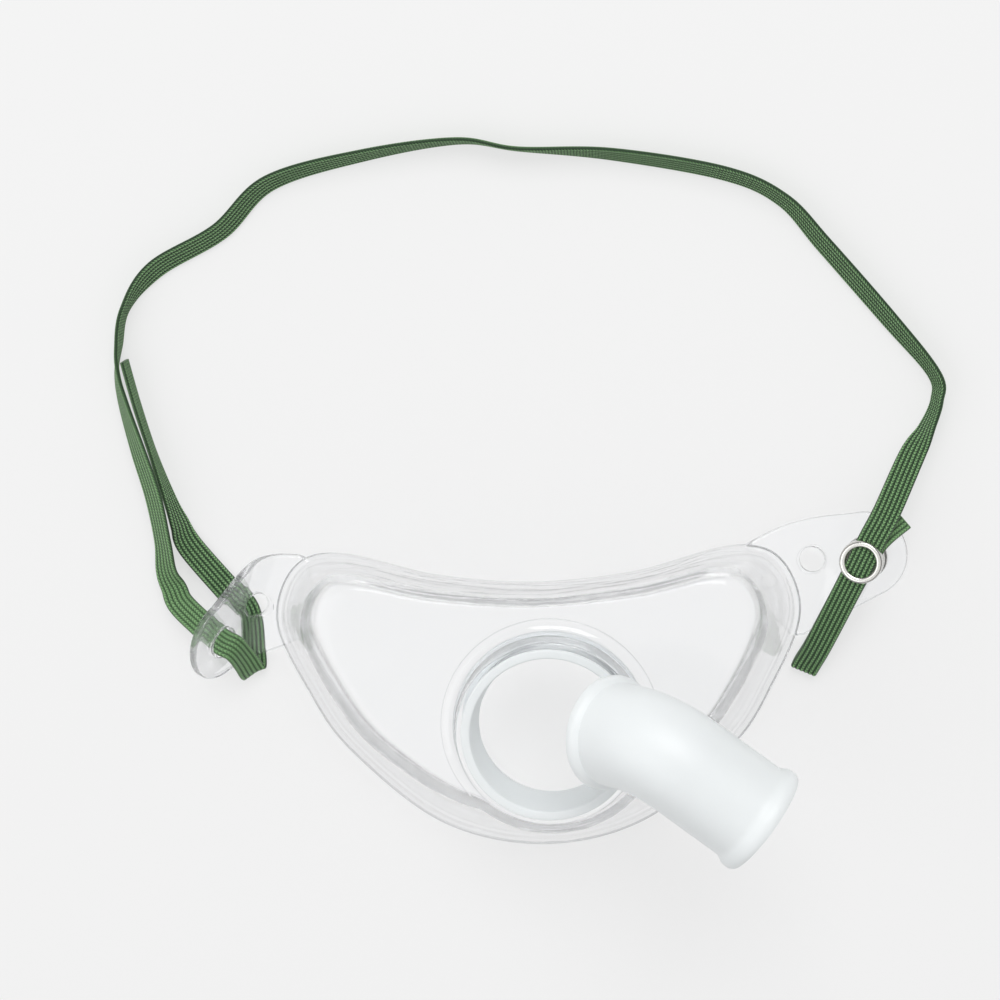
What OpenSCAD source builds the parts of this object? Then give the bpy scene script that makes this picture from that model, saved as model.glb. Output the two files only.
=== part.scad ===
// Clear tracheostomy mask with a swivel hose connector and an elastic neck strap.
// Millimetres, +Z up. The mask lies on its neck rim on the plane z = 0.
// Origin: where the axis of the round port meets the plane of the neck rim.
// +X points to the side of the snap fastener, +Y to the chin side.

/* [Shell] */
// Wall thickness of the shell and the ears
wall = 2.0; // [1.5:0.1:3]
// Distance from the port axis to the middle of the shell
shell_shift = 3.2; // [0:0.1:6]
// Height of the shoulder between side walls and front face
face_height = 18.3; // [14:0.1:22]
// Rise of the front face from its shoulder to the port
face_crown = 1.2; // [0.4:0.1:3]

/* [Port turret] */
// Radius of the bore that holds the swivel sleeve
port_bore = 18.2; // [16:0.05:20]
// Height of the turret's top edge above the rim
port_top = 26.0; // [24:0.1:30]
// Outer radius of the turret at its top edge
port_outer = 20.3; // [19.5:0.1:22]
// Radius of the fillet at the foot of the turret
port_fillet = 3.4; // [2:0.1:5]

/* [Ears] */
// Half the width of an ear at its root
ear_root = 12.0; // [9:0.1:14]
// Radius of an ear's round end
ear_end = 9.4; // [8:0.1:11]
// How far the upper edge of an ear bows out
ear_bow = 1.5; // [0:0.1:3]
// Diameter of the outer hole
ear_hole = 7.0; // [6.6:0.1:8]
// Diameter of the inner hole
ear_spare_hole = 5.5; // [4:0.1:6]
// Upward bend of the right ear, in degrees
right_bend = 8; // [4:1:20]
// Upward bend of the left ear, in degrees
left_bend = 60; // [30:1:66]

/* [Swivel connector] */
// Radial clearance of the sleeve in the bore
swivel_gap = 0.06; // [0.02:0.01:0.1]
// Radius of the clear way at the sleeve's lower end
sleeve_way = 15.8; // [14:0.1:16.5]
// Outer radius of the hose tube
tube_radius = 11.0; // [10:0.1:11.5]
// Wall thickness of the hose tube
tube_wall = 1.5; // [1:0.1:2.2]
// Radius of the tube's bend
tube_bend = 14.0; // [12.5:0.5:18]
// Length of the inner leg up to the corner of the bend
inner_leg = 15.0; // [12:0.5:18]
// Length of the outer leg from the corner of the bend
outer_leg = 27.5; // [20:0.5:36]
// Compass angle of the outer leg, in degrees
outer_turn = -38; // [-60:0.5:0]
// Radius of the land at the hose end
land_radius = 12.0; // [11.2:0.05:12.2]
// Length of the land at the hose end
land_length = 3.0; // [2:0.1:5]
// Bevel of the hose end's outer edge
land_bevel = 0.3; // [0.1:0.05:0.6]

/* [Strap] */
// Width of the strap
strap_width = 6.0; // [5:0.1:6.4]
// Thickness of the strap
strap_thick = 1.0; // [0.8:0.05:1.2]

/* [Snap fastener] */
// Outer radius of the snap's rings
snap_outer = 4.75; // [4.2:0.05:5.5]
// Inner radius of the open front ring
snap_inner = 3.5; // [2.8:0.05:3.8]

/* [Hidden] */
$fn = 96;
// The elbow's legs are this much slimmer than its bend, and reach this far into it
leg_step = 0.05;
leg_entry = 0.5;

// Right half of the rim and of the front face, from the chin side round to the chest side
rim_half = [[0, 28], [22, 30], [43, 35.4], [54, 32.6], [58.5, 20], [52, 3.5], [43, -10.5],
    [23, -27.5], [0, -33]];
face_half = [[0, 28.5], [22, 30.5], [39, 34], [47, 31], [50, 21], [43.5, 6], [34.5, -5.5],
    [18, -17], [0, -20.5]];

// Root point, root angle, side, bend, twist, turn in its own plane, where the bend starts and ends,
// and half the root's width on the chest side
ear_right = [[49.5, 25.5, 2.2], 31, 1, right_bend, -10, 0, 3, 13, ear_root];
ear_left = [[-55.2, 23.5, 2.5], 18, -1, left_bend, 0, -20, 6, 15, ear_root - 5];
hole_at = [20.8, -4.0];
spare_at = [10.5, 1.5];
end_at = [21.0, -3.2];

// Strap route: a place and the direction across the strap, from the free end at the snap to
// the free end beside the left ear
route = [
    [[77.0, 42.2, 7.4], [0.7, -0.7, 0.1]],
    [[71.0, 37.3, 9.0], [0.8, -0.5, 0.2]],
    [[66.1, 28.6, 8.7], [0.9, -0.4, 0.2]],
    [[59.2, 14.2, 4.2], [0.9, -0.4, 0.0]],
    [[56.6, 9.0, 1.3], [0.9, -0.4, 0.0]],
    [[55.6, 7.1, 2.1], [0.9, -0.4, 0.0]],
    [[56.6, 9.0, 3.0], [0.9, -0.4, 0.0]],
    [[59.1, 14.2, 5.7], [0.9, -0.4, 0.0]],
    [[65.8, 28.7, 10.1], [0.9, -0.4, 0.2]],
    [[70.2, 37.7, 10.3], [0.9, -0.4, 0.2]],
    [[73.6, 44.0, 9.8], [0.9, -0.4, 0.2]],
    [[79.4, 55.2, 4.6], [0.8, -0.4, 0.5]],
    [[82.7, 60.8, 3.2], [0.4, -0.2, 0.9]],
    [[85.0, 67.0, 3.2], [0.3, 0.0, 1.0]],
    [[84.4, 72.8, 3.1], [0.4, 0.1, 0.9]],
    [[75.0, 84.7, 2.9], [0.4, 0.4, 0.8]],
    [[61.2, 101.2, 2.9], [0.4, 0.4, 0.8]],
    [[52.4, 111.2, 3.0], [0.3, 0.4, 0.9]],
    [[40.0, 117.2, 3.1], [0.1, 0.5, 0.9]],
    [[16.0, 122.0, 3.1], [0.1, 0.4, 0.9]],
    [[-4.0, 123.7, 3.2], [0.0, 0.1, 1.0]],
    [[-17.0, 125.8, 3.2], [0.0, 0.2, 1.0]],
    [[-37.5, 123.3, 3.1], [0.0, 0.4, 0.9]],
    [[-58.0, 118.0, 3.0], [-0.2, 0.5, 0.8]],
    [[-69.5, 107.8, 2.8], [-0.4, 0.5, 0.8]],
    [[-84.0, 100.0, 2.8], [-0.4, 0.5, 0.8]],
    [[-91.2, 91.5, 3.2], [-0.1, 0.1, 1.0]],
    [[-93.2, 83.1, 3.2], [0.0, 0.0, 1.0]],
    [[-93.8, 76.9, 3.3], [0.3, 0.0, 1.0]],
    [[-92.6, 70.2, 4.0], [0.5, 0.1, 0.9]],
    [[-89.8, 60.0, 5.0], [0.6, 0.2, 0.7]],
    [[-87.0, 49.8, 5.5], [0.7, 0.2, 0.7]],
    [[-85.5, 39.6, 5.3], [0.7, 0.2, 0.7]],
    [[-85.2, 32.7, 4.4], [0.8, 0.3, 0.5]],
    [[-83.9, 28.6, 3.6], [0.8, 0.5, 0.1]],
    [[-82.6, 25.2, 3.8], [0.7, 0.6, -0.2]],
    [[-78.0, 21.2, 6.2], [0.6, 0.7, -0.3]],
    [[-72.9, 17.8, 9.6], [0.5, 0.8, -0.4]],
    [[-70.0, 16.2, 9.9], [0.5, 0.8, -0.4]],
    [[-68.4, 12.5, 6.5], [0.6, 0.7, -0.3]],
    [[-67.2, 9.0, 2.8], [0.8, 0.5, -0.1]],
    [[-67.4, 13.0, 0.8], [0.9, 0.3, 0.0]],
    [[-68.2, 22.5, 0.85], [0.9, 0.3, 0.0]],
    [[-72.4, 28.0, 1.7], [0.7, 0.5, -0.3]],
    [[-80.0, 38.0, 2.4], [0.7, 0.5, -0.5]],
    [[-82.0, 43.4, 3.0], [0.4, 0.3, -0.8]],
    [[-83.7, 48.5, 3.2], [0.2, 0.1, -1.0]],
    [[-86.9, 58.9, 3.2], [0.0, 0.0, -1.0]],
    [[-89.9, 70.1, 3.2], [0.0, 0.0, -1.0]],
    [[-92.1, 80.0, 3.2], [0.0, 0.0, -1.0]]
];

// Corner of the tube's bend and the frame the bend is turned in
corner = [23.5, 3.8, 48.5];
leg_in = [sin(45), 0, cos(45)];
leg_out = [cos(outer_turn), sin(outer_turn), 0];
turn_angle = acos(leg_in * leg_out);
bend_cut = tube_bend * tan(turn_angle / 2);
bend_in = unit(leg_out - (leg_in * leg_out) * leg_in);
bend_from = corner - bend_cut * leg_in;
bend_mid = bend_from + tube_bend * bend_in;
tube_bore = tube_radius - tube_wall;
sleeve_r = port_bore - swivel_gap;

function unit(v) = v / norm(v);

// Smooth curve through a, b, c, d between b and c
function curve(a, b, c, d, t) = 0.5 * (2 * b + (c - a) * t + (2 * a - 5 * b + 4 * c - d) * t * t
    + (3 * b - a - 3 * c + d) * t * t * t);

function whole(half) = concat(half, [for (i = [len(half) - 2 : -1 : 1]) [-half[i][0], half[i][1]]]);

function ring_curve(p, k) = let (n = len(p))
    [for (i = [0 : n - 1], j = [0 : k - 1])
        curve(p[(i + n - 1) % n], p[i], p[(i + 1) % n], p[(i + 2) % n], j / k) - [shell_shift, 0]];

function inset(p, d) = let (n = len(p))
    [for (i = [0 : n - 1])
        let (t = unit(p[(i + 1) % n] - p[(i + n - 1) % n])) p[i] + d * [t[1], -t[0]]];

function mix(a, b, f) = [for (i = [0 : len(a) - 1]) a[i] * (1 - f) + b[i] * f];

function lift(p, z) = [for (q = p) [q[0], q[1], z]];

rim_curve = ring_curve(whole(rim_half), 4);
face_curve = ring_curve(whole(face_half), 4);

// Port circle with one point for each point of the face's outline
function port_circle(r) = [for (q = face_curve) r * unit(q)];

// Rings of the shell's surface, moved inwards by d and downwards by drop, from foot to port
function shell_rings(d, drop, foot) =
    let (r = inset(rim_curve, d), f = inset(face_curve, d), c = port_circle(14 - d), h = face_height)
    concat(
        [lift(mix(r, f, foot / h), foot)],
        [for (g = [0.34, 0.67, 0.88]) lift(mix(r, f, g), g * (h - drop))],
        [lift(f, h - drop - 0.7)],
        [lift(mix(f, c, 0.05), h - drop)],
        [for (g = [0.14, 0.4, 0.7, 1]) lift(mix(f, c, g), h - drop + face_crown * (0.3 + 0.7 * g))]);

// Closed body through rings of points, with flat ends
module loft(rings) {
    n = len(rings[0]);
    m = len(rings);
    sides = [for (i = [0 : m - 2], j = [0 : n - 1])
        let (a = i * n + j, b = i * n + (j + 1) % n)
        each [[a, b, a + n], [b, b + n, a + n]]];
    foot = [for (j = [n - 1 : -1 : 0]) j];
    head = [for (j = [0 : n - 1]) (m - 1) * n + j];
    polyhedron(points = [for (r = rings) each r], faces = concat(sides, [foot, head]));
}

// Place on an ear: u outwards from its root, v along the root, w above its middle plane
function ear_place(e, u0, v0, w) =
    let (
        side = e[2], a = e[1], b = e[3],
        u = cos(e[5]) * u0 - sin(e[5]) * v0,
        v = sin(e[5]) * u0 + cos(e[5]) * v0,
        eu = [side * cos(a), sin(a), 0],
        ev = [-side * sin(a), cos(a), 0],
        up = [0, 0, 1],
        s = min(max((u - e[6]) / (e[7] - e[6]), 0), 1),
        t = s * b,
        rho = (e[7] - e[6]) * 180 / (PI * b),
        far = max(u - e[7], 0),
        out = min(u, e[6]) + rho * sin(t) + far * cos(b),
        high = rho * (1 - cos(t)) + far * sin(b),
        tw = e[4] * min(max(u / e[7], 0), 1),
        nrm = cos(t) * up - sin(t) * eu)
    e[0] + out * eu + high * up + v * (cos(tw) * ev + sin(tw) * nrm)
        + w * (cos(tw) * nrm - sin(tw) * ev);

// Upper and lower edge of an ear: straight from the root, then round its end
function edge_at(e, u, sgn) =
    let (
        root = sgn > 0 ? ear_root : e[8],
        p = [0, sgn * root],
        d = end_at - p,
        l = norm(d),
        a = atan2(d[1], d[0]) + sgn * asin(ear_end / l),
        k = sqrt(l * l - ear_end * ear_end),
        ut = k * cos(a))
    u <= 0 ? sgn * (root + 0.5 * u)
        : u < ut ? p[1] + u * tan(a) + (sgn > 0 ? ear_bow * sin(180 * u / ut) : 0)
        : end_at[1] + sgn * sqrt(max(0, ear_end * ear_end - (u - end_at[0]) * (u - end_at[0])));

module ear(e) {
    stops = concat([-8, -2], [for (u = [1 : 1.5 : 13]) u],
        [for (a = [100 : -10 : 10]) end_at[0] + ear_end * cos(a)], [end_at[0] + ear_end * cos(4)]);
    loft([for (u = stops)
        let (hi = edge_at(e, u, 1), lo = edge_at(e, u, -1))
        concat(
            [for (f = [0 : 0.25 : 1]) ear_place(e, u, lo + f * (hi - lo), e[2] * wall / 2)],
            [for (f = [1 : -0.25 : 0]) ear_place(e, u, lo + f * (hi - lo), -e[2] * wall / 2)])]);
}

// Puts a piece on an ear with its axis along the ear's normal
module on_ear(e, q) {
    o = ear_place(e, q[0], q[1], 0);
    n = unit(ear_place(e, q[0], q[1], 1) - o);
    a = unit(cross([0, 1, 0], n));
    b = cross(n, a);
    multmatrix([[a[0], b[0], n[0], o[0]], [a[1], b[1], n[1], o[1]], [a[2], b[2], n[2], o[2]]])
        children();
}

module turret_body() {
    base = face_height + 0.9;
    foot_r = port_outer + 0.3 + port_fillet;
    rotate_extrude()
        polygon(concat(
            [[port_bore - 1.5, 14], [foot_r, 14]],
            [for (a = [0 : 15 : 90]) [foot_r - port_fillet * sin(a), base + port_fillet * (1 - cos(a))]],
            [[port_outer, port_top - 0.7], [port_outer - 0.7, port_top], [port_bore - 1.5, port_top]]));
}

module mask_shell() {
    color([0.90, 0.93, 0.94, 0.35])
    difference() {
        union() {
            loft(shell_rings(0, 0, 0));
            turret_body();
            ear(ear_right);
            ear(ear_left);
        }
        loft(shell_rings(wall, wall, -1));
        translate([0, 0, 8])
            cylinder(r = port_bore, h = 30);
        translate([0, 0, 8])
            cylinder(r = port_bore + 1.6, h = face_height + face_crown - wall - 8.1);
        for (e = [ear_right, ear_left]) {
            on_ear(e, hole_at)
                translate([0, 0, -4])
                    cylinder(d = ear_hole, h = 8, $fn = 48);
            on_ear(e, spare_at)
                translate([0, 0, -3])
                    cylinder(d = ear_spare_hole, h = 6, $fn = 48);
        }
    }
}

// Sleeve with a catch under the face and a lip over the turret's edge
module sleeve() {
    low = face_height + face_crown - wall - 0.4;
    rotate_extrude()
        polygon([[sleeve_way, low - 1.6], [port_bore + 0.8, low - 1.6], [port_bore + 1.2, low - 1.2],
            [port_bore + 1.2, low], [sleeve_r, low], [sleeve_r, port_top + 0.3],
            [port_bore + 0.8, port_top + 0.3], [port_bore + 0.8, port_top + 1.0],
            [port_bore + 0.6, port_top + 1.2], [port_bore - 1.2, port_top + 1.2], [sleeve_way, low + 1]]);
}

// Scoop that carries the tube on the sleeve's edge
module scoop() {
    rotate([0, 0, -8])
        rotate_extrude(angle = 38)
            polygon([[port_bore - 1.3, port_top + 0.4], [port_bore + 0.6, port_top + 0.4],
                [port_bore + 4.6, port_top + 4.4], [port_bore + 4.6, port_top + 6.4],
                [port_bore + 3.2, port_top + 6.4], [port_bore - 1.3, port_top + 1.9]]);
}

// Tube or bore along the elbow: two straight legs that enter the ends of the bend
module tube_solid(r) {
    translate(corner - inner_leg * leg_in)
        rotate([0, 45, 0])
            cylinder(r = r - leg_step, h = inner_leg - bend_cut + leg_entry);
    a = -bend_in;
    c = cross(a, leg_in);
    multmatrix([[a[0], leg_in[0], c[0], bend_mid[0]], [a[1], leg_in[1], c[1], bend_mid[1]],
        [a[2], leg_in[2], c[2], bend_mid[2]]])
        rotate_extrude(angle = turn_angle)
            translate([tube_bend, 0])
                circle(r = r);
    translate(corner + (bend_cut - leg_entry) * leg_out)
        rotate([0, 90, outer_turn])
            cylinder(r = r - leg_step, h = outer_leg - bend_cut + leg_entry);
}

module swivel_connector() {
    color([0.88, 0.92, 0.93, 0.75])
    difference() {
        union() {
            sleeve();
            scoop();
            tube_solid(tube_radius);
            translate(corner - inner_leg * leg_in)
                rotate([0, 45, 0])
                    rotate_extrude()
                        polygon([[tube_bore - 0.2, 0], [tube_radius + 0.8, 0], [tube_radius + 1.2, 0.5],
                            [tube_radius + 1.2, 1.4], [tube_radius + 0.6, 2.2],
                            [tube_radius - 0.2, 2.6], [tube_bore - 0.2, 2.6]]);
            translate(corner + (outer_leg - land_bevel - land_length - 0.6) * leg_out)
                rotate([0, 90, outer_turn])
                    rotate_extrude()
                        polygon([[tube_bore - 0.2, 0], [tube_radius - 0.1, 0], [land_radius, 0.6],
                            [land_radius, 0.6 + land_length],
                            [land_radius - land_bevel, 0.6 + land_length + land_bevel],
                            [tube_bore - 0.2, 0.6 + land_length + land_bevel]]);
        }
        tube_solid(tube_bore);
        translate(corner - (inner_leg + 6) * leg_in)
            rotate([0, 45, 0])
                cylinder(r = tube_bore, h = 8);
        translate(corner + (outer_leg - 2) * leg_out)
            rotate([0, 90, outer_turn])
                cylinder(r = tube_bore, h = 4);
    }
}

// Direction across the strap, square to its course
function across(t, w) = unit(w - (w * t) * t);

module head_strap() {
    n = len(route);
    pts = [for (i = [0 : n - 2], j = [0, 0.5])
        [curve(route[max(i - 1, 0)][0], route[i][0], route[i + 1][0], route[min(i + 2, n - 1)][0], j),
            route[i][1] * (1 - j) + route[i + 1][1] * j]];
    line = concat(pts, [route[n - 1]]);
    m = len(line);
    hw = strap_width / 2;
    ht = strap_thick / 2;
    section = [[hw, -ht / 2], [hw, ht / 2], [hw - ht / 2, ht], [-hw + ht / 2, ht],
        [-hw, ht / 2], [-hw, -ht / 2], [-hw + ht / 2, -ht], [hw - ht / 2, -ht]];
    color([0.23, 0.42, 0.25])
    loft([for (i = [0 : m - 1])
        let (
            t = unit(line[min(i + 1, m - 1)][0] - line[max(i - 1, 0)][0]),
            a = across(t, line[i][1]),
            b = cross(a, t))
        [for (q = section) line[i][0] + q[0] * a + q[1] * b]]);
}

// Open ring with prongs: foot at zero, prongs downwards
module prong_ring(inner, prong_r, prong_len) {
    rotate_extrude()
        translate([(snap_outer + inner) / 2, 0.5])
            scale([snap_outer - inner, 1.0])
                circle(d = 1.0, $fn = 24);
    for (a = [36 : 72 : 359])
        rotate([0, 0, a])
            translate([prong_r, 0, -prong_len])
                cylinder(r = 0.35, h = prong_len + 0.5, $fn = 16);
}

module snap_ring() {
    color([0.78, 0.78, 0.76])
    on_ear(ear_right, hole_at)
        translate([0, 0, 6.2])
            prong_ring(snap_inner, 4.0, 3.4);
}

module snap_socket() {
    color([0.74, 0.74, 0.72])
    on_ear(ear_right, hole_at)
        rotate_extrude()
            polygon([[2.3, 1.8], [3.6, 1.8], [snap_outer - 0.15, 2.4], [snap_outer - 0.15, 3.3],
                [snap_outer - 0.45, 3.6], [1.4, 3.6], [1.4, 3.3], [2.3, 3.3]]);
}

module snap_stud() {
    color([0.74, 0.74, 0.72])
    on_ear(ear_right, hole_at)
        rotate_extrude()
            polygon([[1.2, 1.05], [snap_outer - 0.25, 1.05], [snap_outer - 0.25, 1.5], [2.0, 1.5],
                [2.15, 2.4], [2.0, 3.1], [1.2, 3.1]]);
}

module snap_back_ring() {
    color([0.78, 0.78, 0.76])
    on_ear(ear_right, hole_at)
        mirror([0, 0, 1])
            translate([0, 0, 1.05])
                prong_ring(2.4, 2.85, 2.35);
}

mask_shell();
swivel_connector();
head_strap();
snap_ring();
snap_socket();
snap_stud();
snap_back_ring();
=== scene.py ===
"""Looks of a clear tracheostomy mask: vinyl shell, frosted swivel elbow, green elastic strap, ring snap.

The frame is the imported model. Every piece is worked out in metres in the same frame: origin where the
port's axis meets the plane of the neck rim, +Z along the port, +X to the snap, +Y to the chin side.
"""

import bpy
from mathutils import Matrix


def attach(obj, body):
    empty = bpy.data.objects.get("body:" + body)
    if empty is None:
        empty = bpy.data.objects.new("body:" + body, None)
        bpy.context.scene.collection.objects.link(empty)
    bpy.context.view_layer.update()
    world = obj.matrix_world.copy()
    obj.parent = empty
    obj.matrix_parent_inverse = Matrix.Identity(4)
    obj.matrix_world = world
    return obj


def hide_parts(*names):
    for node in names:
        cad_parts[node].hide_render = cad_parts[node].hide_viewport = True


bl_info = {
    "name": "Tracheostomy Mask",
    "version": (1, 0, 0),
    "blender": (4, 5, 0),
    "location": "View3D > Sidebar > Neck Mask",
    "description": "Builds the looks of a clear tracheostomy mask around its packed model",
    "category": "Add Mesh",
}

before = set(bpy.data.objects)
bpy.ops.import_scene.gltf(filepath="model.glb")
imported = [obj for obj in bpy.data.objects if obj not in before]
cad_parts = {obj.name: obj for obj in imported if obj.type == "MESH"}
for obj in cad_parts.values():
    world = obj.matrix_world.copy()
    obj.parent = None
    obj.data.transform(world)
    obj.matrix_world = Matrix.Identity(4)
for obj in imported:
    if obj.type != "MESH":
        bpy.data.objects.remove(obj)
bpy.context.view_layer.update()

import math

import bmesh
import bpy
import numpy as np
from bpy.props import FloatProperty, FloatVectorProperty, IntProperty, PointerProperty
from mathutils import Matrix, Vector

MM = 0.001
UP = np.array([0.0, 0.0, 1.0])

# Right half of the rim and of the front face, from the chin side round to the chest side, and the number of
# steps between two of their points
RIM_HALF = MM * np.array([(0, 28), (22, 30), (43, 35.4), (54, 32.6), (58.5, 20), (52, 3.5), (43, -10.5),
                          (23, -27.5), (0, -33)])
FACE_HALF = MM * np.array([(0, 28.5), (22, 30.5), (39, 34), (47, 31), (50, 21), (43.5, 6), (34.5, -5.5),
                           (18, -17), (0, -20.5)])
OUTLINE_STEPS = 18

# Ears: root point, compass angle of the root, side, bend and twist, turn in the ear's own plane, where the
# bend starts and ends, half the root's width on the chest side, and how many times the usual bow its upper
# edge has
EAR_RIGHT = {"root": (49.5, 25.5, 2.2), "angle": 31, "side": 1, "bend": 8, "twist": -10, "turn": 0,
             "bend_from": 3, "bend_to": 13, "low_root": 12, "bow": 1.0}
EAR_LEFT = {"root": (-55.2, 23.5, 2.5), "angle": 18, "side": -1, "bend": 60, "twist": 0, "turn": -20,
            "bend_from": 6, "bend_to": 15, "low_root": 7, "bow": 1.9}
# Places on an ear's plane: its outer hole, its spare hole and the middle of its round end
HOLE_AT = (20.8, -4.0)
SPARE_AT = (10.5, 1.5)
END_AT = np.array([21.0, -3.2])

# Strap route: a place and the direction across the strap, from the free end at the snap to the free end
# beside the left ear
ROUTE = np.array([
    [(77.0, 42.2, 7.4), (0.7, -0.7, 0.1)],
    [(71.0, 37.3, 9.0), (0.8, -0.5, 0.2)],
    [(66.1, 28.6, 8.7), (0.9, -0.4, 0.2)],
    [(59.2, 14.2, 4.2), (0.9, -0.4, 0.0)],
    [(56.6, 9.0, 1.3), (0.9, -0.4, 0.0)],
    [(55.6, 7.1, 2.1), (0.9, -0.4, 0.0)],
    [(56.6, 9.0, 3.0), (0.9, -0.4, 0.0)],
    [(59.1, 14.2, 5.7), (0.9, -0.4, 0.0)],
    [(65.8, 28.7, 10.1), (0.9, -0.4, 0.2)],
    [(70.2, 37.7, 10.3), (0.9, -0.4, 0.2)],
    [(73.6, 44.0, 9.8), (0.9, -0.4, 0.2)],
    [(79.4, 55.2, 4.6), (0.8, -0.4, 0.5)],
    [(82.7, 60.8, 3.2), (0.4, -0.2, 0.9)],
    [(85.0, 67.0, 3.2), (0.3, 0.0, 1.0)],
    [(84.4, 72.8, 3.1), (0.4, 0.1, 0.9)],
    [(75.0, 84.7, 2.9), (0.4, 0.4, 0.8)],
    [(61.2, 101.2, 2.9), (0.4, 0.4, 0.8)],
    [(52.4, 111.2, 3.0), (0.3, 0.4, 0.9)],
    [(40.0, 117.2, 3.1), (0.1, 0.5, 0.9)],
    [(16.0, 122.0, 3.1), (0.1, 0.4, 0.9)],
    [(-4.0, 123.7, 3.2), (0.0, 0.1, 1.0)],
    [(-17.0, 125.8, 3.2), (0.0, 0.2, 1.0)],
    [(-37.5, 123.3, 3.1), (0.0, 0.4, 0.9)],
    [(-58.0, 118.0, 3.0), (-0.2, 0.5, 0.8)],
    [(-69.5, 107.8, 2.8), (-0.4, 0.5, 0.8)],
    [(-84.0, 100.0, 2.8), (-0.4, 0.5, 0.8)],
    [(-91.2, 91.5, 3.2), (-0.1, 0.1, 1.0)],
    [(-93.2, 83.1, 3.2), (0.0, 0.0, 1.0)],
    [(-93.8, 76.9, 3.3), (0.3, 0.0, 1.0)],
    [(-92.6, 70.2, 4.0), (0.5, 0.1, 0.9)],
    [(-89.8, 60.0, 5.0), (0.6, 0.2, 0.7)],
    [(-87.0, 49.8, 5.5), (0.7, 0.2, 0.7)],
    [(-85.5, 39.6, 5.3), (0.7, 0.2, 0.7)],
    [(-85.2, 32.7, 4.4), (0.8, 0.3, 0.5)],
    [(-83.9, 28.6, 3.6), (0.8, 0.5, 0.1)],
    [(-82.6, 25.2, 3.8), (0.7, 0.6, -0.2)],
    [(-78.0, 21.2, 6.2), (0.6, 0.7, -0.3)],
    [(-72.9, 17.8, 9.6), (0.5, 0.8, -0.4)],
    [(-70.0, 16.2, 9.9), (0.5, 0.8, -0.4)],
    [(-68.4, 12.5, 6.5), (0.6, 0.7, -0.3)],
    [(-67.2, 9.0, 2.8), (0.8, 0.5, -0.1)],
    [(-67.4, 13.0, 0.8), (0.9, 0.3, 0.0)],
    [(-68.2, 22.5, 0.85), (0.9, 0.3, 0.0)],
    [(-72.4, 28.0, 1.7), (0.7, 0.5, -0.3)],
    [(-80.0, 38.0, 2.4), (0.7, 0.5, -0.5)],
    [(-82.0, 43.4, 3.0), (0.4, 0.3, -0.8)],
    [(-83.7, 48.5, 3.2), (0.2, 0.1, -1.0)],
    [(-86.9, 58.9, 3.2), (0.0, 0.0, -1.0)],
    [(-89.9, 70.1, 3.2), (0.0, 0.0, -1.0)],
    [(-92.1, 80.0, 3.2), (0.0, 0.0, -1.0)],
])


def length(name, description, default):
    """A size in metres, shown in the scene's length unit."""
    return FloatProperty(name=name, description=description, default=default, unit="LENGTH", precision=5)


def angle(name, description, degrees):
    """An angle, given in degrees."""
    return FloatProperty(name=name, description=description, default=math.radians(degrees), subtype="ANGLE")


def colour(name, description, rgb):
    """A colour with full alpha, as linear values."""
    return FloatVectorProperty(name=name, description=description, default=(*rgb, 1.0), size=4,
                               subtype="COLOR", min=0.0, max=1.0)


class ShellSettings(bpy.types.PropertyGroup):
    """Sizes and colour of the vinyl shell and its ears."""

    wall: length("Wall", "Thickness of the shell and the ears", 0.002)
    shift: length("Shift", "Distance from the port's axis to the middle of the shell", 0.0032)
    face_height: length("Face height", "Height of the shoulder", 0.0183)
    face_crown: length("Face crown", "Rise of the face from shoulder to port", 0.0012)
    port_bore: length("Port bore", "Radius of the bore in the turret", 0.0182)
    port_outer: length("Port outer", "Outer radius of the turret's top edge", 0.0203)
    port_top: length("Port top", "Height of the turret's top edge", 0.026)
    port_fillet: length("Port fillet", "Radius of the fillet at the turret's foot", 0.0034)
    ear_root: length("Ear root", "Half the width of an ear at its root", 0.012)
    ear_end: length("Ear end", "Radius of an ear's round end", 0.0094)
    ear_bow: length("Ear bow", "How far the upper edge of an ear bows out", 0.0015)
    ear_hole: length("Ear hole", "Diameter of an ear's outer hole", 0.007)
    ear_spare: length("Spare hole", "Diameter of an ear's inner hole", 0.0055)
    vinyl: colour("Vinyl", "Tint of the clear vinyl", (0.985, 0.99, 0.995))
    # Dark grey of painted shade: the vinyl's painted outline, its grey where looked along, and rays caught
    # in the wall
    edge: colour("Edge", "Tint of the clear vinyl at its edges", (0.16, 0.165, 0.18))


class ConnectorSettings(bpy.types.PropertyGroup):
    """Sizes and colour of the swivel sleeve and the hose elbow."""

    gap: length("Gap", "Radial clearance of the sleeve in the bore", 0.00006)
    way: length("Clear way", "Radius of the way at the sleeve's lower end", 0.0158)
    tube: length("Tube", "Outer radius of the hose tube", 0.011)
    tube_wall: length("Tube wall", "Wall thickness of the hose tube", 0.0015)
    bend: length("Bend", "Radius of the tube's bend", 0.014)
    inner_leg: length("Inner leg", "Length from the inner end to the corner of the bend", 0.015)
    outer_leg: length("Outer leg", "Length from the corner of the bend to the hose end", 0.0275)
    turn: angle("Turn", "Compass angle of the outer leg", -38)
    land: length("Land", "Radius of the land at the hose end", 0.012)
    corner: FloatVectorProperty(name="Corner", description="Corner of the tube's bend",
                                default=(0.0235, 0.0038, 0.0485), unit="LENGTH")
    frost: colour("Frost", "Colour of the frosted plastic", (0.91, 0.95, 0.96))


class StrapSettings(bpy.types.PropertyGroup):
    """Sizes and colours of the elastic strap."""

    width: length("Width", "Width of the strap", 0.006)
    thick: length("Thickness", "Thickness of the strap", 0.001)
    ribs: IntProperty(name="Ribs", description="Rubber cores across the strap", default=6, min=3, max=10)
    light: colour("Light yarn", "Yarn on the crown of a rib", (0.22, 0.415, 0.175))
    # Painted shade: the yarn darkened to near black for the grooves and the gaps between stitches
    groove_shade: colour("Dark yarn", "Yarn in a groove", (0.008, 0.032, 0.008))


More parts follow.
